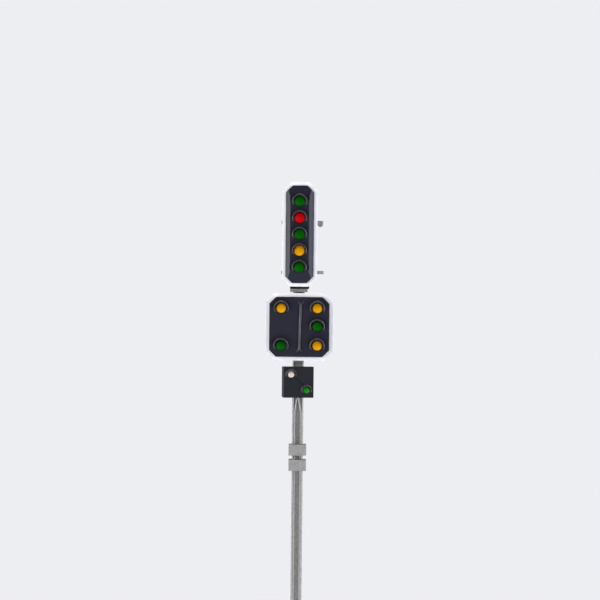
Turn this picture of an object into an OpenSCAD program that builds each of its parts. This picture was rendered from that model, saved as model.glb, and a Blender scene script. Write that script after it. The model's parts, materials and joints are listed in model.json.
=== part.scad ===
// Colour-light railway signal in H0 size, with three lamp heads on an H-section mast.
// Origin: centre of the mast where its foot plate rests on the board. +Z is up, and the
// lamps face -Y. Each head turns about its own vertical pivot tube in front of the mast.

/* [Mast] */
// Width across the two flanges
mast_w = 2.0; // [1.9:0.05:2.1]
// Depth along the flanges
mast_d = 2.0; // [1.9:0.05:2.1]
// Thickness of a flange
flange_t = 0.28; // [0.24:0.01:0.3]
// Thickness of the web between the flanges
web_t = 0.3; // [0.2:0.02:0.3]
// Height of the mast's top above the board
mast_top = 87; // [86:0.5:89]
// Side of each square collar
collar_w = 3.1; // [3:0.05:3.2]
// Height of the two lower collars, the foot collar and the brackets
collar_h = 1.95; // [1.9:0.05:2.2]
// Middle height of the collar between the two big heads
collar_top_z = 71.95; // [71.9:0.05:72.05]
// Middle height of the upper one of the two lower collars
collar_upper_z = 43.17; // [43:0.01:44]
// Middle height of the lower one of the two lower collars
collar_lower_z = 40.48; // [39:0.01:40.6]

/* [Foot] */
// Side of the square foot plate
plate_w = 8; // [7.5:0.5:12]
// Thickness of the foot plate
plate_t = 1; // [1:0.1:1.5]
// Distance of each bolt from the mast's centre, along X and along Y
bolt_at = 3; // [3:0.1:3.2]
// Outside diameter of the mounting spigot
spigot_d = 4; // [4:0.1:4.4]
// Bore of the mounting spigot
spigot_bore = 3.1; // [3.1:0.02:3.2]
// Length of the spigot below the board
spigot_l = 12; // [10:0.5:16]
// Length of the plug that closes the spigot
plug_l = 2; // [1:0.5:3]

/* [Swivels] */
// Distance of the pivots in front of the mast's centre
pivot_out = 2.3; // [2.3:0.05:2.6]
// Outside diameter of a pivot tube
tube_d = 0.84; // [0.8:0.02:0.88]
// Bore of a pivot tube
tube_bore = 0.56; // [0.54:0.02:0.6]
// Radius of the rounded lugs and bracket noses
lug_r = 0.65; // [0.6:0.01:0.68]
// Turn of the main head from straight ahead, in degrees
main_turn = -2.5; // [-5:0.5:5]
// Turn of the distant head from straight ahead, in degrees
distant_turn = -2.5; // [-5:0.5:5]
// Turn of the auxiliary head from straight ahead, in degrees
aux_turn = 8; // [0:0.5:10]

/* [Heads] */
// Height of the main head's middle
main_z = 80.93; // [80.9:0.01:81]
// Height of the distant head's middle
distant_z = 64.82; // [64.7:0.01:64.9]
// Height of the auxiliary head's middle
aux_z = 55.21; // [55.1:0.01:55.3]
// Sideways offset of the main head from its pivot
main_x = 0.19; // [0.1:0.01:0.25]
// Sideways offset of the distant head from its pivot
distant_x = 0.28; // [0.2:0.01:0.3]
// Sideways offset of the auxiliary head from its pivot
aux_x = -0.34; // [-0.35:0.01:-0.25]
// Depth of the rear covers
cover_d = 1.3; // [1.2:0.05:1.5]
// Wall thickness of the rear covers
cover_wall = 0.3; // [0.25:0.01:0.35]
// Thickness of the white back plates
back_t = 0.3; // [0.2:0.05:0.4]
// Depth of the black housings
housing_d = 1.2; // [1.1:0.05:1.4]
// How far a lens stands out of the housing's face
lens_out = 0.3; // [0.1:0.05:0.5]
// Width of the white border round the main housing
main_border = 0.6; // [0.5:0.05:0.65]
// Width of the white border round the distant housing
distant_border = 0.65; // [0.5:0.05:0.7]

/* [Main head] */
// Width of the main housing
main_w = 4.9; // [4.8:0.05:5]
// Height of the main housing
main_h = 17; // [16.8:0.1:17.2]
// Length cut off each corner of the main housing
main_cut = 1.17; // [1:0.01:1.3]
// Width of the flat front strip that holds the lamps
main_flat_w = 3.3; // [3.2:0.05:3.5]
// Height of the sloping facets at the top and bottom
main_slope_h = 1.95; // [1.6:0.05:2]
// Width of the flat rim outside the sloping facets at the sides
main_rim = 0.14; // [0.1:0.01:0.2]
// Distance between neighbouring lamps
main_pitch = 2.87; // [2.85:0.01:2.9]
// Diameter of the main lenses
main_lens_d = 1.8; // [1.7:0.05:1.9]

/* [Distant head] */
// Width and height of the distant housing
distant_w = 10.44; // [10.3:0.02:10.6]
// Length cut off each corner of the distant housing
distant_cut = 1.18; // [1:0.01:1.3]
// Distance of the lamps from the head's middle, sideways
distant_lamp_x = 3.15; // [3.1:0.01:3.2]
// Distance of the corner lamps above and below the head's middle
distant_lamp_z = 3.25; // [3.2:0.01:3.3]
// Diameter of the distant lenses
distant_lens_d = 1.66; // [1.6:0.02:1.8]
// Diameter of the centre rib
rib_d = 0.48; // [0.4:0.02:0.5]

/* [Auxiliary head] */
// Width of the auxiliary housing
aux_w = 5.25; // [5.1:0.05:5.3]
// Height of the auxiliary housing
aux_h = 5.4; // [5.3:0.05:5.5]
// Length cut off each corner of the auxiliary housing
aux_cut = 0.05; // [0.02:0.01:0.2]
// Distance of the two lamps from the head's middle, along each axis
aux_lamp_at = 1.37; // [1.3:0.01:1.4]
// Diameter of the auxiliary lenses
aux_lens_d = 1.14; // [1.1:0.02:1.2]

/* [Leads] */
// Diameter of one enamelled wire
wire_d = 0.12; // [0.1:0.01:0.12]
// Distance between wires side by side in the mast channel
row_pitch = 0.2; // [0.19:0.01:0.2]
// Distance between wires in a packed bundle
pack_pitch = 0.17; // [0.15:0.01:0.17]

/* [Hidden] */
$fn = 48;
eps = 0.01;
tiny_gap = 0.01;
mast_bottom = -6;
top_collar_h = 2.08;
bolt_shank_r = 0.35;
bolt_head_r = 0.7;
bolt_head_h = 0.5;
spigot_head_d = spigot_d + 0.6;
swivel_gap = 0.03;
thrust_gap = 0.05;
dark = [0.17, 0.17, 0.2];
white = [0.93, 0.93, 0.94];
grey = [0.6, 0.6, 0.58];
brassy = [0.78, 0.65, 0.38];
copper = [0.45, 0.28, 0.18];
board_green = [0.1, 0.32, 0.2];
lamp_green = [0, 0.36, 0];
lamp_red = [0.84, 0, 0];
lamp_orange = [0.9, 0.6, 0.05];
lamp_white = [0.88, 0.83, 0.77];

// Indexes of the heads in the lists of their dimensions
MAIN = 0;
DISTANT = 1;
AUX = 2;

// Turn, height and sideways offset of each head, and the borders of the two with back plates
head_turn = [main_turn, distant_turn, aux_turn];
head_z = [main_z, distant_z, aux_z];
head_x = [main_x, distant_x, aux_x];
border = [main_border, distant_border];

// Heights of the pivots; the main one sits low enough to clear the upper cross arm
pivot_z = [79.3, head_z[DISTANT], head_z[AUX]];
nose_h = [1.4, 1.4, 0.8];
lug_h = [0.8, 0.8, 0.45];
flange_h = 0.1;
flange_r = 0.62;
// Each head's middle above its own pivot
rise = [for (i = [MAIN : AUX]) head_z[i] - pivot_z[i]];
// Half the length of each pivot tube, from its middle to its end
tube_end = [for (i = [MAIN : AUX]) nose_h[i] / 2 + 2 * thrust_gap + lug_h[i] + flange_h];

// Distances in front of the pivot of each layer of a head
cover_back = 0.85;
cover_front = cover_back + cover_d;
plate_front = cover_front + back_t;
face = [plate_front + housing_d, plate_front + housing_d, cover_front + housing_d + 0.05];
front_wall = 0.45;
shoulder_d = 0.5;
board_t = 0.3;
led_size = [1, 0.5];
led_t = 0.45;
plate_hole_r = 0.8;
lens_flange_t = 0.2;
lens_flange_over = 0.15;
block_w = 0.7;
block_d = 0.64;
block_h = 0.3;

// Rear cover of the main head: it hangs a little below the back plate
main_cover_w = 3.3;
main_cover_h = 17.9;
main_cover_drop = 0.55;
distant_cover_w = 9.2;
aux_cover_h = aux_h - 0.04;

// Inner radius, wall and length of the hoods of each head
hood_r = [1.02, 1.04, 0.7];
hood_wall = [0.2, 0.2, 0.17];
hood_l = [1.2, 1.2, 0.9];

// Cross arms of the main head: thickness, left end, legs, and each bar's height and place
arm_t = 0.4;
arm_left = -3.3;
arm_leg_x = 2.35;
upper_arm = [0.66, 2.11, 3.98];
lower_arm = [0.56, -6.6, 4.14];
arm_end_r = 0.5;
arm_end_z = 1.84;

// Corner cut of a plate that has the same border on every side of a housing
function plate_cut(cut, edge) = cut + edge * (2 - sqrt(2));

// Places of the lamps from the middle of each head, as [x, z]
main_lamps = [for (i = [2 : -1 : -2]) [0, i * main_pitch]];
distant_lamps = [
    [-distant_lamp_x, distant_lamp_z],
    [distant_lamp_x, distant_lamp_z],
    [distant_lamp_x, 0.1],
    [-distant_lamp_x, -distant_lamp_z],
    [distant_lamp_x, -distant_lamp_z]
];
aux_lamps = [[-aux_lamp_at, aux_lamp_at], [aux_lamp_at, -aux_lamp_at]];

// ---- Shared shapes ----

// An upright slab: its outline lies in X and Z, and it runs forward from y = -from
module slab(from, thick) {
    translate([0, -from, 0]) rotate([90, 0, 0]) linear_extrude(thick) children();
}

// A rectangle with its four corners cut off at 45 degrees
module cut_rect(w, h, cut) {
    polygon([
        [w / 2 - cut, h / 2], [w / 2, h / 2 - cut], [w / 2, cut - h / 2], [w / 2 - cut, -h / 2],
        [cut - w / 2, -h / 2], [-w / 2, cut - h / 2], [-w / 2, h / 2 - cut], [cut - w / 2, h / 2]
    ]);
}

// A round rod that runs forward from y = -from
module forward_rod(from, length, r) {
    translate([0, -from, 0]) rotate([90, 0, 0]) cylinder(r = r, h = length);
}

// Puts a shape drawn about a head's pivot in its place on the mast
module on_pivot(i) {
    translate([0, -pivot_out, pivot_z[i]]) rotate([0, 0, head_turn[i]]) children();
}

// Puts a shape drawn about a head's middle in its place on the mast
module in_head(i) {
    on_pivot(i) translate([head_x[i], 0, rise[i]]) children();
}

// Repeats a shape at every lamp of a head
module at_lamps(lamps) {
    for (p = lamps) translate([p[0], 0, p[1]]) children();
}

// ---- Mast and foot ----

module square_collar(middle, height) {
    difference() {
        translate([0, 0, middle]) cube([collar_w, collar_w, height], center = true);
        translate([0, 0, middle]) cube([mast_w, mast_d, height + 1], center = true);
    }
}

module mast_profile() {
    color(grey) translate([0, 0, mast_bottom]) linear_extrude(mast_top - mast_bottom) union() {
        square([mast_w, web_t], center = true);
        for (side = [-1, 1])
            translate([side * (mast_w - flange_t) / 2, 0]) square([flange_t, mast_d], center = true);
    }
}

module mast_collar_top() color(grey) square_collar(collar_top_z, top_collar_h);
module mast_collar_upper() color(grey) square_collar(collar_upper_z, collar_h);
module mast_collar_lower() color(grey) square_collar(collar_lower_z, collar_h);
module foot_collar() color(grey) square_collar(plate_t + collar_h / 2, collar_h);

module at_bolts() {
    for (x = [-bolt_at, bolt_at], y = [-bolt_at, bolt_at]) translate([x, y, 0]) children();
}

module foot_plate() {
    color(grey) difference() {
        translate([0, 0, plate_t / 2]) cube([plate_w, plate_w, plate_t], center = true);
        translate([0, 0, -1]) cylinder(d = spigot_head_d, h = plate_t + 2);
        at_bolts() translate([0, 0, plate_t / 2])
            cylinder(r = bolt_shank_r, h = plate_t);
    }
}

// Bolt heads on short shanks that are pressed into blind holes
module foot_bolts() {
    color(grey) at_bolts() union() {
        translate([0, 0, plate_t / 2]) cylinder(r = bolt_shank_r, h = plate_t);
        translate([0, 0, plate_t]) cylinder(r = bolt_head_r, h = bolt_head_h, $fn = 6);
    }
}

// Tube with a wider head that is pressed into the foot plate
module mounting_spigot() {
    color(brassy) difference() {
        union() {
            translate([0, 0, -spigot_l]) cylinder(d = spigot_d, h = spigot_l);
            cylinder(d = spigot_head_d, h = plate_t);
        }
        translate([0, 0, -spigot_l - 1]) cylinder(d = spigot_bore, h = spigot_l + plate_t + 2);
    }
}

// Plug in the top of the spigot with a square hole that holds the mast
module mast_socket() {
    color(brassy) difference() {
        translate([0, 0, mast_bottom]) cylinder(d = spigot_bore, h = plate_t - mast_bottom);
        translate([0, 0, plate_t / 2]) cube([mast_w, mast_d, 2 * spigot_l], center = true);
    }
}

module lead_outlet_plug() {
    color(dark) translate([0, 0, -spigot_l]) cylinder(d = spigot_bore, h = plug_l);
}

// ---- Pivots ----

// Collar on the mast, with a nose that holds the pivot tube
module bracket(i) {
    color(grey) difference() {
        union() {
            square_collar(pivot_z[i], collar_h);
            translate([0, -pivot_out, pivot_z[i]])
                cylinder(r = lug_r, h = nose_h[i], center = true);
            translate([0, -(pivot_out + collar_w / 2) / 2, pivot_z[i]])
                cube([2 * lug_r, pivot_out - collar_w / 2, nose_h[i]], center = true);
        }
        translate([0, -pivot_out, pivot_z[i]]) cylinder(d = tube_d, h = 2 * collar_h, center = true);
    }
}
module main_bracket() bracket(MAIN);
module distant_bracket() bracket(DISTANT);
module aux_bracket() bracket(AUX);

// Hollow pivot, with a flange outside each lug
module pivot_tube(i) {
    color(brassy) translate([0, -pivot_out, pivot_z[i]]) difference() {
        union() {
            cylinder(d = tube_d, h = 2 * tube_end[i], center = true);
            for (side = [-1, 1]) translate([0, 0, side * (tube_end[i] - flange_h / 2)])
                cylinder(r = flange_r, h = flange_h, center = true);
        }
        cylinder(d = tube_bore, h = 2 * tube_end[i] + 1, center = true);
    }
}
module main_pivot_tube() pivot_tube(MAIN);
module distant_pivot_tube() pivot_tube(DISTANT);
module aux_pivot_tube() pivot_tube(AUX);

// ---- Leads ----

function unit(v) = v / norm(v);
// Direction of a route at point i
function heading(route, i) =
    unit(route[min(i + 1, len(route) - 1)] - route[max(i - 1, 0)]);
// The two directions across a route at point i: sideways first, then the other
function side_of(t) = unit([1, 0, 0] - t[0] * t);
function across(t) = [side_of(t), cross(side_of(t), t)];
// A route moved sideways by a and across by b
function beside(route, a, b) = [
    for (i = [0 : len(route) - 1])
        let (d = across(heading(route, i))) route[i] + a * d[0] + b * d[1]
];

// A round wire swept along a route
module wire(route, sides = 8) {
    last = len(route) - 1;
    rings = [
        for (i = [0 : last], k = [0 : sides - 1])
            let (d = across(heading(route, i)), a = 360 * k / sides)
            route[i] + wire_d / 2 * (cos(a) * d[0] + sin(a) * d[1])
    ];
    walls = [
        for (i = [0 : last - 1], k = [0 : sides - 1])
            let (n = (k + 1) % sides, a = i * sides)
            [a + k, a + n, a + sides + n, a + sides + k]
    ];
    ends = [
        [for (k = [sides - 1 : -1 : 0]) k],
        [for (k = [0 : sides - 1]) last * sides + k]
    ];
    polyhedron(rings, concat(walls, ends));
}

// Places of six wires round the middle of a pivot tube, from left to right
ring_angles = [210, 150, 270, 90, 330, 30];
function in_tube(k) = 0.17 * [cos(ring_angles[k]), sin(ring_angles[k])];

// Depth of packed layer n in the front channel of the mast, counted from the web
function layer_y(n) = -web_t / 2 - 0.08 - n * pack_pitch;
// Sideways place of a column in a corner of the channel: 0 is against the flange
function column_x(side, column) =
    side * (mast_w / 2 - flange_t - 0.08 - column * pack_pitch);

// Heights where the wires change depth, spread to the corners, and end in the plug
swap_z = [57.2, 55.6];
spread_z = [52.3, 50.1];
lead_end_z = plug_l - spigot_l;

// A lead of a head from the middle of its pivot tube to the foot. It starts in place k
// of six in the tube, runs down its own row in layer n, and ends in [side, column, layer].
module mast_lead(i, k, n, x, corner) {
    tube = in_tube(k);
    below = pivot_z[i] - tube_end[i];
    end_x = column_x(corner[0], corner[1]);
    end_y = layer_y(corner[2]);
    wire([
        [tube[0], tube[1] - pivot_out, pivot_z[i] - 0.05],
        [tube[0], tube[1] - pivot_out, below - 0.15],
        [(tube[0] * 3 + x) / 4, (tube[1] - pivot_out) * 0.85 + layer_y(n) * 0.15, below - 0.55],
        [(tube[0] + x * 3) / 4, (tube[1] - pivot_out) * 0.15 + layer_y(n) * 0.85, below - 1.45],
        [x, layer_y(n), below - 1.95],
        [x, layer_y(n), swap_z[0]],
        [x, end_y, swap_z[1]],
        [x, end_y, spread_z[0]],
        [end_x, end_y, spread_z[1]],
        [end_x, end_y, lead_end_z]
    ]);
}

// Places of the six leads of a big head in the channel: outermost first on each side
function row_x(k) = (k - 2.5) * row_pitch;
function out_to_in(k) = k < 3 ? k : 5 - k;

module main_leads() {
    corners = [[0, 0], [1, 0], [1, 1]];
    color(copper) for (k = [0 : 5]) {
        slot = corners[out_to_in(k)];
        mast_lead(MAIN, k, 0, row_x(k), [k < 3 ? -1 : 1, slot[0], slot[1]]);
    }
}
module distant_leads() {
    corners = [[0, 1], [0, 2], [1, 2]];
    color(copper) for (k = [0 : 5]) {
        slot = corners[out_to_in(k)];
        mast_lead(DISTANT, k, 1, row_x(k), [k < 3 ? -1 : 1, slot[0], slot[1]]);
    }
}

// The auxiliary head's three leads join in front of the others and spread at once
module aux_leads() {
    below = pivot_z[AUX] - tube_end[AUX];
    front_y = layer_y(3);
    goals = [column_x(-1, 0.5), column_x(1, 1), column_x(1, 0)];
    color(copper) for (n = [0 : 2]) {
        tube = in_tube([0, 3, 4][n]);
        wire([
            [tube[0], tube[1] - pivot_out, pivot_z[AUX] - 0.05],
            [tube[0], tube[1] - pivot_out, below - 0.15],
            [tube[0], (tube[1] - pivot_out) * 0.85 + front_y * 0.15, below - 0.55],
            [tube[0], (tube[1] - pivot_out) * 0.15 + front_y * 0.85, below - 1.35],
            [tube[0], front_y, below - 1.85],
            [goals[n], front_y, spread_z[1] - 0.3],
            [goals[n], front_y, lead_end_z]
        ]);
    }
}

// Leads inside a head: from the board's block out through the slot and into the tube.
// The route's heights are measured from the top of the tube.
module tail_leads(i, places) {
    top = tube_end[i];
    route = [
        [0, -1.42, top + 0.9], [0, -1.36, top + 0.76], [0, -1.12, top + 0.6],
        [0, -0.75, top + 0.56], [0, -0.38, top + 0.5], [0, -0.12, top + 0.3],
        [0, 0, top + 0.05], [0, 0, 0.05]
    ];
    color(copper) on_pivot(i) for (k = places)
        wire(beside(route, in_tube(k)[0], in_tube(k)[1]));
}
module main_tail_leads() tail_leads(MAIN, [0 : 5]);
module distant_tail_leads() tail_leads(DISTANT, [0 : 5]);
module aux_tail_leads() tail_leads(AUX, [0, 3, 4]);

// ---- Parts that every head has ----

// Tray that closes a head from behind, with two lugs that turn on the pivot tube
module rear_cover(i, w, h, cut, drop = 0) {
    color(dark) on_pivot(i) difference() {
        union() {
            translate([head_x[i], 0, rise[i] - drop]) difference() {
                slab(cover_back, cover_d) cut_rect(w, h, cut);
                slab(cover_back + cover_wall, cover_d)
                    cut_rect(w - 2 * cover_wall, h - 2 * cover_wall, cut);
            }
            for (side = [-1, 1])
                translate([0, 0, side * (nose_h[i] + 2 * thrust_gap + lug_h[i]) / 2]) union() {
                    cylinder(r = lug_r, h = lug_h[i], center = true);
                    translate([0, -(cover_back + 0.1) / 2, 0])
                        cube([2 * lug_r, cover_back + 0.1, lug_h[i]], center = true);
                }
        }
        cylinder(d = tube_d + 2 * swivel_gap, h = 2 * tube_end[i], center = true);
        translate([-0.4, -cover_back - cover_wall - eps, tube_end[i] + 0.2])
            cube([0.8, cover_wall + 2 * eps, 0.8]);
    }
}

// Board behind the lamps, with the block that the leads are soldered to
module led_board(i, w, h, cut) {
    color(board_green) on_pivot(i) union() {
        translate([head_x[i], 0, rise[i]]) slab(cover_front - board_t, board_t) cut_rect(w, h, cut);
        translate([-block_w / 2, board_t - cover_front - eps, tube_end[i] + 0.9])
            cube([block_w, block_d + eps, block_h]);
    }
}

// One small light source for each lamp, on the front of the board
module leds(i, lamps) {
    color(lamp_white) in_head(i) at_lamps(lamps)
        slab(cover_front, led_t) square(led_size, center = true);
}

module back_plate(i, w, h, cut, lamps) {
    edge = border[i];
    color(white) in_head(i) difference() {
        slab(cover_front, back_t) cut_rect(w + 2 * edge, h + 2 * edge, plate_cut(cut, edge));
        at_lamps(lamps) forward_rod(cover_front - 1, back_t + 2, plate_hole_r);
    }
}

// Lens with a flange behind the front wall and a shallow dome that stands out of its hole
module lens(i, place, d, tint) {
    dome_r = d * 2;
    tip = face[i] + lens_out;
    color(tint) in_head(i) translate([place[0], 0, place[1]]) union() {
        forward_rod(
            face[i] - front_wall - lens_flange_t, lens_flange_t, d / 2 + lens_flange_over
        );
        intersection() {
            forward_rod(
                face[i] - front_wall - lens_flange_t / 2,
                front_wall + lens_flange_t / 2 + lens_out,
                d / 2 - tiny_gap
            );
            translate([0, dome_r - tip, 0]) sphere(r = dome_r);
        }
    }
}

// Visor over a lamp: the top of a tube, cut away towards its open underside
module hood(i) {
    r = hood_r[i] + hood_wall[i];
    length = hood_l[i];
    base = face[i];
    difference() {
        intersection() {
            forward_rod(base, length, r);
            rotate([90, 0, 90]) linear_extrude(2 * r + 1, center = true) polygon([
                [1 - base, -0.5 * r], [-base, -0.5 * r], [-base - length, 0.55 * r],
                [-base - length, r + 1], [1 - base, r + 1]
            ]);
        }
        forward_rod(base - 1, length + 2, hood_r[i]);
    }
}

// ---- Main head ----

// Outer form of the main housing: chamfered corners, and slopes to a narrow front strip
module main_form() {
    back = plate_front;
    front = face[MAIN];
    shoulder = back + shoulder_d;
    slope_x = main_w / 2 - main_rim;
    intersection() {
        slab(back, housing_d) cut_rect(main_w, main_h, main_cut);
        linear_extrude(main_h + 1, center = true) polygon([
            [-main_w / 2, -back], [main_w / 2, -back], [main_w / 2, -shoulder],
            [slope_x, -shoulder], [main_flat_w / 2, -front],
            [-main_flat_w / 2, -front], [-slope_x, -shoulder], [-main_w / 2, -shoulder]
        ]);
        rotate([90, 0, 90]) linear_extrude(main_w + 1, center = true) polygon([
            [-back, -main_h / 2], [-shoulder, -main_h / 2],
            [-front, main_slope_h - main_h / 2], [-front, main_h / 2 - main_slope_h],
            [-shoulder, main_h / 2], [-back, main_h / 2]
        ]);
    }
}

// Shallow catch slots at the edges of the front strip, beside the first and last lamps
module catch_slots() {
    slot = [0.35, 0.5, 0.75];
    for (x = [-1.5, 1.5], z = [-5.7, 6.3])
        translate([x, -face[MAIN], z]) cube(slot, center = true);
}

module main_housing() {
    color(dark) in_head(MAIN) difference() {
        main_form();
        catch_slots();
        slab(plate_front - eps, housing_d - front_wall + eps)
            square([main_flat_w - 0.5, main_h - 2 * main_slope_h + 0.6], center = true);
        at_lamps(main_lamps) forward_rod(plate_front, housing_d + 1, main_lens_d / 2);
    }
}

module main_back_plate() back_plate(MAIN, main_w, main_h, main_cut, main_lamps);
module main_rear_cover() rear_cover(MAIN, main_cover_w, main_cover_h, 0.1, main_cover_drop);
module main_led_board() led_board(MAIN, main_cover_w - 2 * cover_wall - 0.1, main_h - 1, 0.1);
module main_leds() leds(MAIN, main_lamps);
module main_hoods() {
    color(dark) in_head(MAIN) at_lamps(main_lamps) hood(MAIN);
}

// Bar behind the rear cover, with two legs that reach forward to the back plate. The bar is
// given by its height, the height of its middle and the place of its right end.
module cross_arm(bar) {
    height = bar[0];
    color(grey) in_head(MAIN) translate([0, 0, bar[1]]) union() {
        translate([arm_left, -cover_back, -height / 2]) cube([bar[2] - arm_left, arm_t, height]);
        for (side = [-1, 1]) translate([side * arm_leg_x, -cover_back - cover_d / 2, 0])
            cube([arm_t, cover_d, height], center = true);
    }
}

// The upper bar has a round end that hangs lower than the rest
module main_cross_arm_upper() {
    color(grey) union() {
        cross_arm(upper_arm);
        in_head(MAIN) translate([upper_arm[2] - arm_end_r, -cover_back + arm_t, arm_end_z])
            rotate([90, 0, 0]) cylinder(r = arm_end_r, h = arm_t);
    }
}
module main_cross_arm_lower() cross_arm(lower_arm);

module main_lens_green_top() lens(MAIN, main_lamps[0], main_lens_d, lamp_green);
module main_lens_red() lens(MAIN, main_lamps[1], main_lens_d, lamp_red);
module main_lens_green_middle() lens(MAIN, main_lamps[2], main_lens_d, lamp_green);
module main_lens_orange() lens(MAIN, main_lamps[3], main_lens_d, lamp_orange);
module main_lens_green_bottom() lens(MAIN, main_lamps[4], main_lens_d, lamp_green);

// ---- Distant head ----

module distant_housing() {
    color(dark) in_head(DISTANT) difference() {
        slab(plate_front, housing_d) cut_rect(distant_w, distant_w, distant_cut);
        slab(plate_front - eps, housing_d - front_wall + eps)
            cut_rect(distant_w - 1, distant_w - 1, distant_cut);
        at_lamps(distant_lamps) forward_rod(plate_front, housing_d + 1, distant_lens_d / 2);
    }
}

module distant_back_plate() {
    back_plate(DISTANT, distant_w, distant_w, distant_cut, distant_lamps);
}
module distant_rear_cover() rear_cover(DISTANT, distant_cover_w, distant_cover_w, 1);
module distant_led_board() led_board(DISTANT, distant_cover_w - 0.9, distant_cover_w - 0.9, 1);
module distant_leds() leds(DISTANT, distant_lamps);
module distant_hoods() {
    color(dark) in_head(DISTANT) at_lamps(distant_lamps) hood(DISTANT);
}

// A rod with round ends between two [x, z] places
module bead(from, to, d) {
    reach = to - from;
    translate([from[0], 0, from[1]]) rotate([0, atan2(reach[0], reach[1]), 0]) union() {
        cylinder(d = d, h = norm(reach));
        sphere(d = d);
        translate([0, 0, norm(reach)]) sphere(d = d);
    }
}

// Half-round rib down the front, leaning a little, with a small fork at each end
module distant_centre_rib() {
    top = [0.24, 3.85];
    bottom = [0.04, -3.85];
    color(dark) in_head(DISTANT) intersection() {
        translate([0, -face[DISTANT], 0]) union() {
            bead(bottom, top, rib_d);
            for (side = [-1, 1]) {
                bead(top, top + [side * 0.38, 0.42], rib_d * 0.6);
                bead(bottom, bottom + [side * 0.42, -0.42], rib_d * 0.6);
            }
        }
        slab(face[DISTANT], 1) square(10, center = true);
    }
}

module distant_lens(k, tint) lens(DISTANT, distant_lamps[k], distant_lens_d, tint);
module distant_lens_orange_left() distant_lens(0, lamp_orange);
module distant_lens_orange_right() distant_lens(1, lamp_orange);
module distant_lens_green_right() distant_lens(2, lamp_green);
module distant_lens_green_left() distant_lens(3, lamp_green);
module distant_lens_orange_bottom() distant_lens(4, lamp_orange);

// ---- Auxiliary head ----

module aux_housing() {
    depth = face[AUX] - cover_front;
    color(dark) in_head(AUX) difference() {
        slab(cover_front, depth) cut_rect(aux_w, aux_h, aux_cut);
        slab(cover_front - eps, depth - front_wall + eps) cut_rect(aux_w - 0.8, aux_h - 0.8, aux_cut);
        at_lamps(aux_lamps) forward_rod(cover_front, depth + 1, aux_lens_d / 2);
    }
}

module aux_rear_cover() rear_cover(AUX, aux_w, aux_cover_h, aux_cut);
module aux_led_board() led_board(AUX, aux_w - 0.8, aux_cover_h - 0.8, 0.2);
module aux_leds() leds(AUX, aux_lamps);
module aux_hoods() {
    color(dark) in_head(AUX) at_lamps(aux_lamps) hood(AUX);
}
module aux_lens_white() lens(AUX, aux_lamps[0], aux_lens_d, lamp_white);
module aux_lens_green() lens(AUX, aux_lamps[1], aux_lens_d, lamp_green);

mast_profile();
mast_collar_top();
mast_collar_upper();
mast_collar_lower();
foot_collar();
foot_plate();
foot_bolts();
mounting_spigot();
mast_socket();
lead_outlet_plug();
main_bracket();
distant_bracket();
aux_bracket();
main_pivot_tube();
distant_pivot_tube();
aux_pivot_tube();
main_leads();
distant_leads();
aux_leads();
main_back_plate();
main_rear_cover();
main_housing();
main_cross_arm_upper();
main_cross_arm_lower();
main_led_board();
main_leds();
main_tail_leads();
main_hoods();
main_lens_green_top();
main_lens_red();
main_lens_green_middle();
main_lens_orange();
main_lens_green_bottom();
distant_back_plate();
distant_rear_cover();
distant_housing();
distant_centre_rib();
distant_led_board();
distant_leds();
distant_tail_leads();
distant_hoods();
distant_lens_orange_left();
distant_lens_orange_right();
distant_lens_green_right();
distant_lens_green_left();
distant_lens_orange_bottom();
aux_rear_cover();
aux_housing();
aux_led_board();
aux_leds();
aux_tail_leads();
aux_hoods();
aux_lens_white();
aux_lens_green();
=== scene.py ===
"""Looks for the H0 colour-light signal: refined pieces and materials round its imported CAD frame.

Blender's unit is the metre; MM turns a size in millimetres into metres.
"""

import json
import math

import bmesh
import bpy
from mathutils import Matrix, Vector


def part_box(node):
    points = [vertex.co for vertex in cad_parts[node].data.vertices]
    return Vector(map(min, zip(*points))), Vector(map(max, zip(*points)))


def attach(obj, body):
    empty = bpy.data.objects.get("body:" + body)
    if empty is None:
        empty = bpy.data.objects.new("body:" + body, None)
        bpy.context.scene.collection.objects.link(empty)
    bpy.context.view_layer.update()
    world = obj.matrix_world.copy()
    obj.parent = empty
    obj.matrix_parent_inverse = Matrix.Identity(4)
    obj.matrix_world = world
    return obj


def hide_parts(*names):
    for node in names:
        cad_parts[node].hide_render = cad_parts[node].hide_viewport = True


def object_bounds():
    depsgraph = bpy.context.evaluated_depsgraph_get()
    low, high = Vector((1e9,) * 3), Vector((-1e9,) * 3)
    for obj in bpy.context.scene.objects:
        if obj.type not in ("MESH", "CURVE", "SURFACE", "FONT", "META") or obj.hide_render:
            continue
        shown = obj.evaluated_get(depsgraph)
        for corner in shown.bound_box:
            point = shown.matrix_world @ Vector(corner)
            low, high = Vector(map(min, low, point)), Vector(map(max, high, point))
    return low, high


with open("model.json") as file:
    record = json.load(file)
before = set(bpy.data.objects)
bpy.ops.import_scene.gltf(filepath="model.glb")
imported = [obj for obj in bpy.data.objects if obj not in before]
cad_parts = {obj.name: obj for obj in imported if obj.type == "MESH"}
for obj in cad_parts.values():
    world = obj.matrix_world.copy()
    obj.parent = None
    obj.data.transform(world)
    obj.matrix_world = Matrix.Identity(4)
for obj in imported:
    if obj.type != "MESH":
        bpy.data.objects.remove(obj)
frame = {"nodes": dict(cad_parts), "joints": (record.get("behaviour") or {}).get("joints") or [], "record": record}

MM = 0.001
SLOT_OF = {part["node"]: part["material_slot"] for part in frame["record"]["subparts"]}
BODIES = frame["record"]["behaviour"]["bodies"]
BODY_OF = {node: body for body, nodes in BODIES.items() for node in nodes}
PIVOT = {joint["child"]: Vector(joint["pos_m"]) for joint in frame["joints"]}
# Turn of each head from straight ahead, at rest
TURN = {"main_head": math.radians(-2.5), "distant_head": math.radians(-2.5), "aux_head": math.radians(8)}


def corner_lists():
    """The object's box as two plain lists of numbers."""
    return [[float(value) for value in corner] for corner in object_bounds()]


cad_box = corner_lists()

# ---- Material building blocks ----

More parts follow.
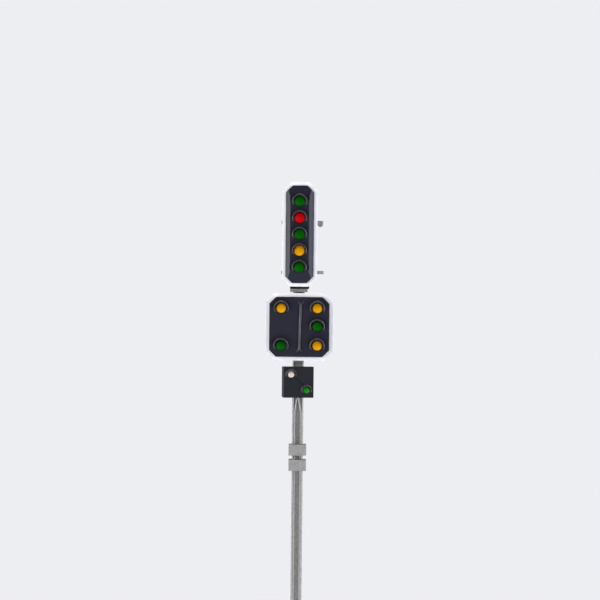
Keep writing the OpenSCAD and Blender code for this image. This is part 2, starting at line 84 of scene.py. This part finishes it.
# Range that holds nearly all values of a noise texture
NOISE_LOW, NOISE_HIGH = 0.3, 0.7
# Cosine between the true and the rounded normal, on a sharp edge and on a flat face
EDGE_COSINE, FLAT_COSINE = 0.85, 0.99
# Ambient occlusion that counts as a corner and as an open face
CORNER_AO, OPEN_AO = 0.62, 0.97
# Distance within which corners are painted darker as shade, in millimetres
PAINTED_SHADE_REACH = 1.6
# Least and most of the edge tone along an edge: paint rubbed away on some materials, a painted highlight on others
WEAR_AND_HIGHLIGHT = (0.3, 0.9)


def add(tree, kind, inputs=(), **settings):
    """A shader node; each input is a number, a colour or another node's output."""
    node = tree.nodes.new("ShaderNode" + kind)
    for name, value in settings.items():
        setattr(node, name, value)
    for key, value in dict(inputs).items():
        if isinstance(value, bpy.types.NodeSocket):
            tree.links.new(value, node.inputs[key])
        else:
            node.inputs[key].default_value = value
    return node


def new_material(name):
    """A node material, its tree and its Principled shader."""
    material = bpy.data.materials.new(name)
    material.use_nodes = True
    return material, material.node_tree, material.node_tree.nodes["Principled BSDF"]


def rgba(colour):
    """Three numbers with full alpha added; a node's output stays as it is."""
    return (*colour, 1.0) if isinstance(colour, tuple) else colour


def two_tone(tree, value, low, high):
    """A colour from low to high, over the usual range of a noise value."""
    node = add(tree, "ValToRGB", {"Fac": value})
    stops = ((NOISE_LOW, low), (NOISE_HIGH, high))
    for element, (place, colour) in zip(node.color_ramp.elements, stops):
        element.position = place
        element.color = rgba(colour)
    return node.outputs["Color"]


def blend(tree, factor, first, second):
    """Two colours mixed by a factor."""
    colours = {"Fac": factor, "Color1": rgba(first), "Color2": rgba(second)}
    return add(tree, "MixRGB", colours).outputs["Color"]


def noise(tree, size, detail=4.0, stretch=(1.0, 1.0, 1.0)):
    """Noise with spots of about this size in millimetres; a stretch below 1 makes them longer."""
    coords = add(tree, "TexCoord").outputs["Object"]
    placed = add(tree, "Mapping", {"Vector": coords, "Scale": stretch}).outputs["Vector"]
    spots = {"Vector": placed, "Scale": 1 / (size * MM), "Detail": detail}
    return add(tree, "TexNoise", spots).outputs["Fac"]


def spread(tree, value, low, high, start=NOISE_LOW, end=NOISE_HIGH):
    """A value mapped from start..end to low..high."""
    limits = {"Value": value, "From Min": start, "From Max": end, "To Min": low, "To Max": high}
    return add(tree, "MapRange", limits).outputs["Result"]


def edge_mask(tree, radius):
    """From 0 on flat faces to 1 on sharp edges, within this distance in millimetres."""
    soft = add(tree, "Bevel", {"Radius": radius * MM}, samples=6).outputs["Normal"]
    true = add(tree, "NewGeometry").outputs["Normal"]
    same = add(tree, "VectorMath", {0: soft, 1: true}, operation="DOT_PRODUCT").outputs["Value"]
    return spread(tree, same, 1.0, 0.0, EDGE_COSINE, FLAT_COSINE)


def openness(tree, reach):
    """From 0 in corners to 1 on open faces, judged within this distance in millimetres; it sets where shade is
    painted.
    """
    seen = add(tree, "AmbientOcclusion", {"Distance": reach * MM}, samples=8).outputs["AO"]
    return spread(tree, seen, 0.0, 1.0, CORNER_AO, OPEN_AO)


def set_shader(shader, **values):
    """Fixed values on the shader's own sockets."""
    for name, value in values.items():
        shader.inputs[name.replace("_", " ")].default_value = value


def roughen(tree, shader, height, depth):
    """Bump of this depth in millimetres on the shader."""
    bump = add(tree, "Bump", {"Height": height, "Distance": depth * MM, "Strength": 1.0})
    tree.links.new(bump.outputs["Normal"], shader.inputs["Normal"])


# ---- Materials ----

# The wires are bare above this height and painted over in grey below it
PAINT_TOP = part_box("distant_bracket")[0][2]
# How far the paint's upper edge wanders, and half the height over which it thins out
PAINT_RAGGED = 0.4 * MM
PAINT_FADE = 0.15 * MM
# A lens in box coordinates, where its flange ends at 0.5: radii between which it takes the darker rim tone, a
# painted shade round its edge
RIM_SHADE_FADE = (0.3, 0.44)
# Places between which it takes its low side's tone, and the most that it takes of it
LOW_SIDE_FADE = (0.1, 0.45)
LOW_SIDE_SHARE = 0.8
# The most of the darker rim tone in the clouds all over a lens
CLOUD_SHARE = 0.25


def surface(
    name, low, high, patch, grain, rough, depth,
    edge=None, wear_and_highlight_width=0.07, painted_shade_open_tone=None, stretch=(1, 1, 1), **fixed
):
    """Mottled colour with a fine grain; edges take the edge tone, which is wear on some materials and a painted
    highlight on others; corners stay darker than the open-face tone as painted shade.

    The colour goes from low to high in patches. patch, grain, depth (of the grain) and the width of the lighter
    edges are millimetres; rough is the range of roughness."""
    material, tree, shader = new_material(name)
    patches = noise(tree, patch)
    fine = noise(tree, grain, 3.0, stretch)
    colour = two_tone(tree, patches, low, high)
    # Painted shade: corners keep the darker base colour and open faces take the lighter open tone
    if painted_shade_open_tone:
        colour = blend(tree, openness(tree, PAINTED_SHADE_REACH), colour, painted_shade_open_tone)
    # Edges take the edge tone: wear on most materials, a painted highlight on the visor lips, the rib and the mast
    # profile
    if edge:
        uneven = {0: edge_mask(tree, wear_and_highlight_width), 1: spread(tree, patches, *WEAR_AND_HIGHLIGHT)}
        wear_and_highlight = add(tree, "Math", uneven, operation="MULTIPLY").outputs["Value"]
        colour = blend(tree, wear_and_highlight, colour, edge)
    tree.links.new(colour, shader.inputs["Base Color"])
    tree.links.new(spread(tree, fine, *rough), shader.inputs["Roughness"])
    roughen(tree, shader, fine, depth)
    set_shader(shader, **fixed)
    return material


def wire_material():
    """Enamelled copper, brushed over with grey paint below the heads; that grey is lighter than the mast's, as a
    painted highlight.
    """
    material, tree, shader = new_material("wire_enamel_strands")
    height = add(tree, "SeparateXYZ", {"Vector": add(tree, "TexCoord").outputs["Object"]}).outputs["Z"]
    patches = noise(tree, 0.6)
    enamel = two_tone(tree, patches, (0.20, 0.055, 0.02), (0.34, 0.11, 0.04))
    # Painted highlight: this grey is lighter than the mast's own paint, for the light the round wires catch and in
    # the shade between the heads
    paint = two_tone(tree, patches, (0.50, 0.49, 0.475), (0.62, 0.61, 0.595))
    wander = spread(tree, patches, -PAINT_RAGGED, PAINT_RAGGED)
    ragged = add(tree, "Math", {0: wander, 1: height}, operation="ADD").outputs["Value"]
    bare = spread(tree, ragged, 0.0, 1.0, PAINT_TOP - PAINT_FADE, PAINT_TOP + PAINT_FADE)
    tree.links.new(blend(tree, bare, paint, enamel), shader.inputs["Base Color"])
    tree.links.new(spread(tree, bare, 0.6, 0.28, 0.0, 1.0), shader.inputs["Roughness"])
    roughen(tree, shader, noise(tree, 0.05), 0.004)
    return material


def lens_material(name, core, rim_shade_and_cloud_tone, low_side):
    """Tinted resin, painted darker towards its edge as shade, with another tone low on the right."""
    material, tree, shader = new_material(name)
    place = add(tree, "TexCoord").outputs["Generated"]
    middle = add(tree, "VectorMath", {0: place, 1: (0.5, 0.5, 0.5)}, operation="SUBTRACT").outputs["Vector"]
    flat = add(tree, "VectorMath", {0: middle, 1: (1, 0, 1)}, operation="MULTIPLY").outputs["Vector"]
    radius = add(tree, "VectorMath", {0: flat}, operation="LENGTH").outputs["Value"]
    slant = add(tree, "VectorMath", {0: flat, 1: (1, 0, -1)}, operation="DOT_PRODUCT").outputs["Value"]
    cloudy = noise(tree, 0.35, 2.0)
    body = blend(tree, spread(tree, slant, 0.0, LOW_SIDE_SHARE, *LOW_SIDE_FADE), core, low_side)
    # Painted shade: darker towards the edge of the dome
    body = blend(tree, spread(tree, radius, 0.0, 1.0, *RIM_SHADE_FADE), body, rim_shade_and_cloud_tone)
    body = blend(tree, spread(tree, cloudy, 0.0, CLOUD_SHARE), body, rim_shade_and_cloud_tone)
    tree.links.new(body, shader.inputs["Base Color"])
    tree.links.new(spread(tree, cloudy, 0.18, 0.28), shader.inputs["Roughness"])
    roughen(tree, shader, noise(tree, 0.12), 0.003)
    set_shader(shader, Specular_IOR_Level=0.06, Subsurface_Weight=0.6)
    set_shader(shader, Subsurface_Scale=0.6 * MM, Subsurface_Radius=(1.0, 1.0, 1.0))
    return material


# One material for each slot of the record
MATERIALS = {
    "mast_grey": surface(
        "mast_grey_paint", (0.215, 0.212, 0.201), (0.345, 0.339, 0.325), 0.3, 0.09, (0.5, 0.65), 0.014,
        edge=(0.42, 0.41, 0.40),
    ),
    # Painted shade: open faces take a lighter bluish tone and corners near the hoods stay darker
    "head_black": surface(
        "head_black_satin", (0.002, 0.002, 0.005), (0.004, 0.004, 0.008), 1.2, 0.05, (0.26, 0.36), 0.005,
        edge=(0.03, 0.03, 0.04), painted_shade_open_tone=(0.016, 0.0165, 0.029), Specular_IOR_Level=0.22,
    ),
    "plate_white": surface(
        "plate_white_paint", (0.90, 0.90, 0.92), (0.94, 0.94, 0.955), 1.5, 0.06, (0.42, 0.55), 0.005,
        edge=(0.86, 0.86, 0.88),
    ),
    "brass": surface(
        "brass_turned", (0.60, 0.41, 0.17), (0.76, 0.55, 0.26), 0.7, 0.08, (0.25, 0.42), 0.004,
        stretch=(0.3, 0.3, 3.0), Metallic=1.0,
    ),
    "plug_resin": surface(
        "plug_black_resin", (0.012, 0.012, 0.014), (0.022, 0.022, 0.025), 0.6, 0.15, (0.15, 0.3), 0.02,
    ),
    "wire_enamel": wire_material(),
    "circuit_board": surface(
        "circuit_board_mask", (0.010, 0.085, 0.035), (0.018, 0.13, 0.055), 0.5, 0.04, (0.25, 0.4), 0.006,
    ),
    "led_body": surface(
        "led_ceramic", (0.62, 0.58, 0.36), (0.80, 0.77, 0.60), 0.25, 0.03, (0.3, 0.5), 0.003,
    ),
    "lens_green": lens_material(
        "lens_green_resin", (0.0, 0.128, 0.0), (0.0, 0.09, 0.0), (0.0, 0.12, 0.0)
    ),
    "lens_red": lens_material(
        "lens_red_resin", (0.68, 0.0, 0.001), (0.46, 0.0, 0.001), (0.66, 0.0, 0.001)
    ),
    "lens_orange": lens_material(
        "lens_orange_resin", (0.80, 0.36, 0.001), (0.66, 0.23, 0.001), (0.84, 0.54, 0.012)
    ),
    "lens_white": lens_material(
        "lens_white_resin", (0.78, 0.69, 0.60), (0.66, 0.58, 0.51), (0.80, 0.72, 0.64)
    ),
}
# Materials of nodes that look different from the rest of their slot, by the end of the node's name
SPECIAL = {
    # Painted highlight: the visors' lips take a pale grey edge tone over a wide band
    "_hoods": surface(
        "visor_black_painted_highlight", (0.006, 0.006, 0.011), (0.01, 0.01, 0.017), 0.5, 0.05, (0.24, 0.34), 0.005,
        edge=(0.30, 0.30, 0.32), wear_and_highlight_width=0.13,
    ),
    # Painted shade: open faces take a lighter tone and corners stay darker
    "_rear_cover": surface(
        "cover_black_matte", (0.004, 0.004, 0.006), (0.009, 0.009, 0.012), 0.9, 0.07, (0.52, 0.66), 0.008,
        edge=(0.04, 0.04, 0.045), painted_shade_open_tone=(0.011, 0.0112, 0.0135), Specular_IOR_Level=0.2,
    ),
    # Painted shade: open faces take a lighter bluish tone and corners near the hood stay darker
    "aux_housing": surface(
        "aux_black_satin", (0.002, 0.002, 0.005), (0.004, 0.004, 0.008), 0.9, 0.05, (0.26, 0.36), 0.005,
        edge=(0.03, 0.03, 0.035), painted_shade_open_tone=(0.0072, 0.0082, 0.0155), Specular_IOR_Level=0.18,
    ),
    # Painted highlight: the rib is lighter than the face and paler still on its edges
    "_rib": surface(
        "rib_black_painted_highlight", (0.015, 0.015, 0.02), (0.045, 0.045, 0.05), 0.4, 0.05, (0.24, 0.34), 0.006,
        edge=(0.10, 0.10, 0.11), wear_and_highlight_width=0.06,
    ),
    # Painted highlight: the profile's grey is lighter than the collars' and its flange edges near white
    "mast_profile": surface(
        "mast_grey_painted_highlight", (0.255, 0.249, 0.237), (0.40, 0.392, 0.374), 0.3, 0.09, (0.5, 0.65), 0.014,
        edge=(0.86, 0.84, 0.80), wear_and_highlight_width=0.22, stretch=(1, 1, 0.4),
    ),
    "aux_lens_green": lens_material(
        "lens_green_light_resin", (0.015, 0.26, 0.01), (0.01, 0.19, 0.007), (0.02, 0.28, 0.014)
    ),
}

# ---- Pieces ----

# Width in millimetres of the rounding along a node's edges, by the end of the node's name
BEVELS = {
    "housing": 0.06,
    "rear_cover": 0.05,
    "back_plate": 0.02,
    "cross_arm_upper": 0.05,
    "cross_arm_lower": 0.05,
    "bracket": 0.05,
    "profile": 0.03,
    "collar_top": 0.06,
    "collar_upper": 0.06,
    "collar_lower": 0.06,
    "foot_collar": 0.06,
    "foot_plate": 0.12,
    "foot_bolts": 0.06,
    "spigot": 0.06,
    "socket": 0.02,
    "plug": 0.05,
    "tube": 0.01,
    "rib": 0.02,
    "led_board": 0.01,
    "leds": 0.02,
    "leads": 0.0,
}
# Angles in degrees above which an edge is rounded, and stays sharp on a turned or round piece
BEVEL_ANGLE = 35
SHARP_ANGLE = 35
ROUND_SHARP_ANGLE = 50

# Lenses: the flange behind the wall, and how far it reaches past the barrel
FLANGE_T = 0.2 * MM
FLANGE_OVER = 0.16 * MM
FLANGE_ROUND = 0.03 * MM
# Points of the shoulder between dome and barrel: in from the barrel, and back from the dome's edge
SHOULDER = [(0.02 * MM, 0.0), (0.006 * MM, 0.012 * MM), (0.0, 0.04 * MM)]
# Radius of the dome in radii of the barrel
DOME = 4
DOME_STEPS = 14
LENS_SIDES = 64

# Hoods: wall thickness in millimetres, and the angles in degrees where the wall starts and ends
HOOD_WALLS = {"main_hoods": 0.2, "distant_hoods": 0.2, "aux_hoods": 0.17}
HOOD_LOW, HOOD_HIGH = -30, 210
HOOD_STEPS = 72
# Heights, in outer radii, between which the front edge slants from its least reach to the full length
HOOD_CUT = (-0.5, 0.55)
HOOD_LEAST = 0.03
# Rounding of the front edge, fillet at the root, depth of the root in the housing
HOOD_LIP = 0.09 * MM
HOOD_FILLET = 0.07 * MM
HOOD_ROOT = 0.1 * MM
# Share of a rounding's size at its middle point
KNEE = 0.3


def by_ending(table, node, otherwise):
    """A table's entry for a node, where each key is the end of a node's name."""
    return next((value for ending, value in table.items() if node.endswith(ending)), otherwise)


def finish_piece(piece, node):
    """Links a piece into the scene, gives it its node's material, hangs it from its node's body and hides the
    node.
    """
    bpy.context.collection.objects.link(piece)
    piece.data.materials.clear()
    piece.data.materials.append(by_ending(SPECIAL, node, MATERIALS[SLOT_OF[node]]))
    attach(piece, BODY_OF[node])
    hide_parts(node)


def to_mesh(bm, name, sharp_angle=None):
    """The built mesh with smooth shading, and edges above the angle in degrees kept sharp."""
    mesh = bpy.data.meshes.new(name)
    bm.to_mesh(mesh)
    bm.free()
    mesh.polygons.foreach_set("use_smooth", [True] * len(mesh.polygons))
    if sharp_angle:
        mesh.set_sharp_from_angle(angle=math.radians(sharp_angle))
    return mesh


def refined(node, bevel):
    """A copy of a CAD node with whole flat faces and edges rounded by bevel millimetres."""
    bm = bmesh.new()
    bm.from_mesh(frame["nodes"][node].data)
    bmesh.ops.remove_doubles(bm, verts=bm.verts, dist=0.001 * MM)
    bmesh.ops.dissolve_limit(bm, angle_limit=math.radians(1), verts=bm.verts, edges=bm.edges)
    name = node + "_fine"
    piece = bpy.data.objects.new(name, to_mesh(bm, name, None if bevel else ROUND_SHARP_ANGLE))
    if bevel:
        rounding = piece.modifiers.new("edges", "BEVEL")
        rounding.width = bevel * MM
        rounding.segments = 2
        rounding.limit_method = "ANGLE"
        rounding.angle_limit = math.radians(BEVEL_ANGLE)
        rounding.use_clamp_overlap = False
        piece.modifiers.new("flat_shading", "WEIGHTED_NORMAL").keep_sharp = True
    finish_piece(piece, node)


def skin(bm, rings):
    """Quads between neighbouring closed rings of vertices; a ring of one vertex makes a fan."""
    for first, second in zip(rings, rings[1:]):
        count = max(len(first), len(second))
        for k in range(count):
            after = (k + 1) % count
            corners = [first[k % len(first)], first[after % len(first)]]
            corners += [second[after % len(second)], second[k % len(second)]]
            bm.faces.new(list(dict.fromkeys(corners)))


def turned(bm, profile, sides, place):
    """Turns a profile of (radius, distance along the axis) points into a skin round the axis.

    place makes a point from its two coordinates across the axis and the one along it."""
    angles = [k / sides * math.tau for k in range(sides)]
    rings = []
    for radius, along in profile:
        ring = angles if radius else angles[:1]
        points = [place(radius * math.cos(angle), radius * math.sin(angle), along) for angle in ring]
        rings.append([bm.verts.new(point) for point in points])
    skin(bm, rings)


def head_piece(bm, name, node, offset=Vector()):
    """The mesh, built in its head's own frame, as a piece at this offset from the head's pivot."""
    bmesh.ops.recalc_face_normals(bm, faces=bm.faces)
    piece = bpy.data.objects.new(name, to_mesh(bm, name, SHARP_ANGLE))
    body = BODY_OF[node]
    turn = Matrix.Rotation(TURN[body], 4, "Z")
    piece.matrix_world = Matrix.Translation(PIVOT[body] + turn @ offset) @ turn
    finish_piece(piece, node)


def local_box(node):
    """A node's box in its head's own frame: from the pivot, with the head's turn undone."""
    body = BODY_OF[node]
    unturn = Matrix.Rotation(-TURN[body], 3, "Z")
    points = [unturn @ (vertex.co - PIVOT[body]) for vertex in frame["nodes"][node].data.vertices]
    low = Vector([min(point[axis] for point in points) for axis in range(3)])
    high = Vector([max(point[axis] for point in points) for axis in range(3)])
    return low, high


def build_lens(node):
    """A resin lens with a shallow dome, a soft shoulder and the flange that holds it behind the wall."""
    low, high = local_box(node)
    outer = (high.x - low.x) / 2
    barrel = outer - FLANGE_OVER
    dome_r = DOME * barrel
    shelf = high.y - FLANGE_T

    def dome_y(radius):
        return low.y + dome_r - math.sqrt(dome_r**2 - radius**2)

    profile = [(k / DOME_STEPS * barrel, dome_y(k / DOME_STEPS * barrel)) for k in range(DOME_STEPS)]
    profile += [(barrel - into, dome_y(barrel) + back) for into, back in SHOULDER]
    profile += [(barrel, shelf), (outer - FLANGE_ROUND, shelf), (outer, shelf + FLANGE_ROUND)]
    profile += [(outer, high.y), (0, high.y)]
    bm = bmesh.new()
    turned(bm, profile, LENS_SIDES, lambda x, z, y: (x, y, z))
    head_piece(bm, node + "_resin", node, Vector(((low.x + high.x) / 2, 0, (low.z + high.z) / 2)))


def hood_section(angle, r_in, r_out, length, face):
    """Cross-section of a hood at one angle: (radius, y) points from the inner root to the outer."""

    def reach(radius):
        share = (radius * math.sin(angle) / r_out - HOOD_CUT[0]) / (HOOD_CUT[1] - HOOD_CUT[0])
        return length * min(max(share, HOOD_LEAST), 1)

    lip = min(HOOD_LIP, reach(r_in) / 3)
    fillet = min(HOOD_FILLET, reach(r_out) / 2)
    points = [
        (r_in, -HOOD_ROOT),
        (r_in, reach(r_in) - lip),
        (r_in + KNEE * lip, reach(r_in) - KNEE * lip),
        (r_in + lip, reach(r_in + lip)),
        (r_out - lip, reach(r_out - lip)),
        (r_out - KNEE * lip, reach(r_out) - KNEE * lip),
        (r_out, reach(r_out) - lip),
        (r_out, fillet),
        (r_out + KNEE * fillet, KNEE * fillet),
        (r_out + fillet, 0.0),
        (r_out + fillet, -HOOD_ROOT),
    ]
    return [(radius, -face - out) for radius, out in points]


def build_hoods(node, wall):
    """One visor over each lens of a head, with a rounded lip and a fillet at its root."""
    body = BODY_OF[node]
    face = -local_box(body.replace("head", "housing"))[0].y
    low, high = local_box(node)
    length = -low.y - face
    middles = [sum(local_box(lens), Vector()) / 2 for lens in BODIES[body] if "_lens_" in lens]
    r_out = high.x - max(middle.x for middle in middles)
    r_in = r_out - wall * MM
    bm = bmesh.new()
    for x, _, z in middles:
        rings = []
        for k in range(HOOD_STEPS + 1):
            angle = math.radians(HOOD_LOW + (HOOD_HIGH - HOOD_LOW) * k / HOOD_STEPS)
            out, up = math.cos(angle), math.sin(angle)
            section = hood_section(angle, r_in, r_out, length, face)
            rings.append([bm.verts.new((x + r * out, y, z + r * up)) for r, y in section])
        skin(bm, rings)
        bm.faces.new(rings[0])
        bm.faces.new(rings[-1])
    head_piece(bm, node + "_visors", node)


for node in BODY_OF:
    if "_lens_" in node:
        build_lens(node)
    elif node in HOOD_WALLS:
        build_hoods(node, HOOD_WALLS[node])
    else:
        refined(node, by_ending(BEVELS, node, 0.0))

# ---- Stage, light and camera ----

# The backdrop's colour, and the distances between which the shaded floor fades into it
STAGE_PALE = (0.852, 0.856, 0.89)
FLOOR_FADE = (0.10, 0.24)
# Radii of the floor's rings; the last one is where it bends up into the wall
FLOOR_RINGS = (0.0, 0.05, 0.15, 0.3, 1.2)
WALL_BEND = 0.5
WALL_TOP = 2.0
BEND_STEPS = 12
STAGE_SIDES = 96

# Strength of the room's light from below and from above, and the heights between which it changes
ROOM_BELOW, ROOM_ABOVE = 0.95, 0.06
ROOM_FADE = (-0.5, 0.2)
ROOM_COLOUR = (0.82, 0.86, 1.0)

HEADS = (0, 0, 0.07)
WARM = (1.0, 0.975, 0.94)
COOL = (0.92, 0.95, 1.0)
NEUTRAL = (1.0, 1.0, 1.0)
# Name, place, target, side, brightness and colour of each softbox
SOFTBOXES = [
    ("softbox_left", (-0.5, -0.06, 0.07), HEADS, 0.5, 4.2, WARM),
    ("softbox_right", (0.5, -0.06, 0.07), HEADS, 0.5, 3.6, COOL),
    ("front_left", (-0.30, -0.42, 0.08), HEADS, 0.3, 3.6, NEUTRAL),
    ("front_right", (0.30, -0.42, 0.08), HEADS, 0.3, 3.6, NEUTRAL),
    ("behind", (0, 0.32, 0.46), (0, 0, 0.06), 0.3, 3.4, NEUTRAL),
    ("overhead", (0, -0.10, 0.57), HEADS, 0.3, 4.2, NEUTRAL),
]

CAMERA_PLACE = Vector((0.22, -440, 69.5)) * MM
CAMERA_ROLL = math.radians(0.55)
FOCAL_LENGTH = 150
SENSOR_WIDTH = 36


def stage_material():
    """Pale floor that takes soft shadows near the object and is an even backdrop further off."""
    material, tree, shader = new_material("stage_pale")
    place = add(tree, "TexCoord").outputs["Object"]
    distance = add(tree, "VectorMath", {0: place}, operation="LENGTH").outputs["Value"]
    far = spread(tree, distance, 0.0, 1.0, *FLOOR_FADE)
    set_shader(shader, Base_Color=(0.8, 0.8, 0.82, 1.0), Roughness=0.9, Specular_IOR_Level=0.0)
    glow = add(tree, "Emission", {"Color": rgba(STAGE_PALE), "Strength": 1.0})
    mixed = add(tree, "MixShader", {0: far, 1: shader.outputs["BSDF"], 2: glow.outputs["Emission"]})
    tree.links.new(mixed.outputs["Shader"], tree.nodes["Material Output"].inputs["Surface"])
    return material


def build_stage(floor_z):
    """A round floor that bends up into a wall all round, seen by the camera only."""
    profile = [(radius, 0.0) for radius in FLOOR_RINGS]
    bend_from = FLOOR_RINGS[-1]
    for k in range(1, BEND_STEPS + 1):
        angle = k / BEND_STEPS * math.pi / 2
        profile.append((bend_from + WALL_BEND * math.sin(angle), WALL_BEND - WALL_BEND * math.cos(angle)))
    profile.append((bend_from + WALL_BEND, WALL_TOP))
    bm = bmesh.new()
    turned(bm, profile, STAGE_SIDES, lambda x, y, z: (x, y, z))
    stage = bpy.data.objects.new("stage", to_mesh(bm, "stage"))
    stage.data.materials.append(stage_material())
    stage.location.z = floor_z
    bpy.context.collection.objects.link(stage)
    stage.visible_diffuse = False
    stage.visible_glossy = False
    stage.visible_transmission = False


def softbox(name, place, target, side, brightness, colour):
    """A square area light of this brightness, hidden from the camera."""
    light = bpy.data.lights.new(name, "AREA")
    light.color = colour
    light.shape = "SQUARE"
    light.size = side
    light.energy = brightness * math.pi * side**2
    lamp = bpy.data.objects.new(name, light)
    lamp.location = place
    aim = (Vector(target) - Vector(place)).to_track_quat("-Z", "Y")
    lamp.rotation_euler = aim.to_euler()
    lamp.visible_camera = False
    bpy.context.collection.objects.link(lamp)


def build_world():
    """A dim room, brighter from below, where a white table would be."""
    world = bpy.data.worlds.new("studio")
    world.use_nodes = True
    tree = world.node_tree
    height = add(tree, "SeparateXYZ", {"Vector": add(tree, "TexCoord").outputs["Generated"]}).outputs["Z"]
    backdrop = tree.nodes["Background"]
    backdrop.inputs["Color"].default_value = rgba(ROOM_COLOUR)
    tree.links.new(spread(tree, height, ROOM_BELOW, ROOM_ABOVE, *ROOM_FADE), backdrop.inputs["Strength"])
    bpy.context.scene.world = world


def build_camera():
    """A long lens level with the heads, tipped a little so that the mast leans as in the photograph."""
    camera = bpy.data.cameras.new("camera")
    camera.lens = FOCAL_LENGTH
    camera.sensor_width = SENSOR_WIDTH
    camera.clip_start = 0.01
    camera.clip_end = 10
    holder = bpy.data.objects.new("camera", camera)
    tip = Matrix.Rotation(-CAMERA_ROLL, 4, "Y")
    holder.matrix_world = Matrix.Translation(CAMERA_PLACE) @ tip @ Matrix.Rotation(math.pi / 2, 4, "X")
    bpy.context.collection.objects.link(holder)
    bpy.context.scene.camera = holder


build_stage(cad_box[0][2])
build_world()
for settings in SOFTBOXES:
    softbox(*settings)
build_camera()
bpy.context.scene.view_settings.view_transform = "Standard"
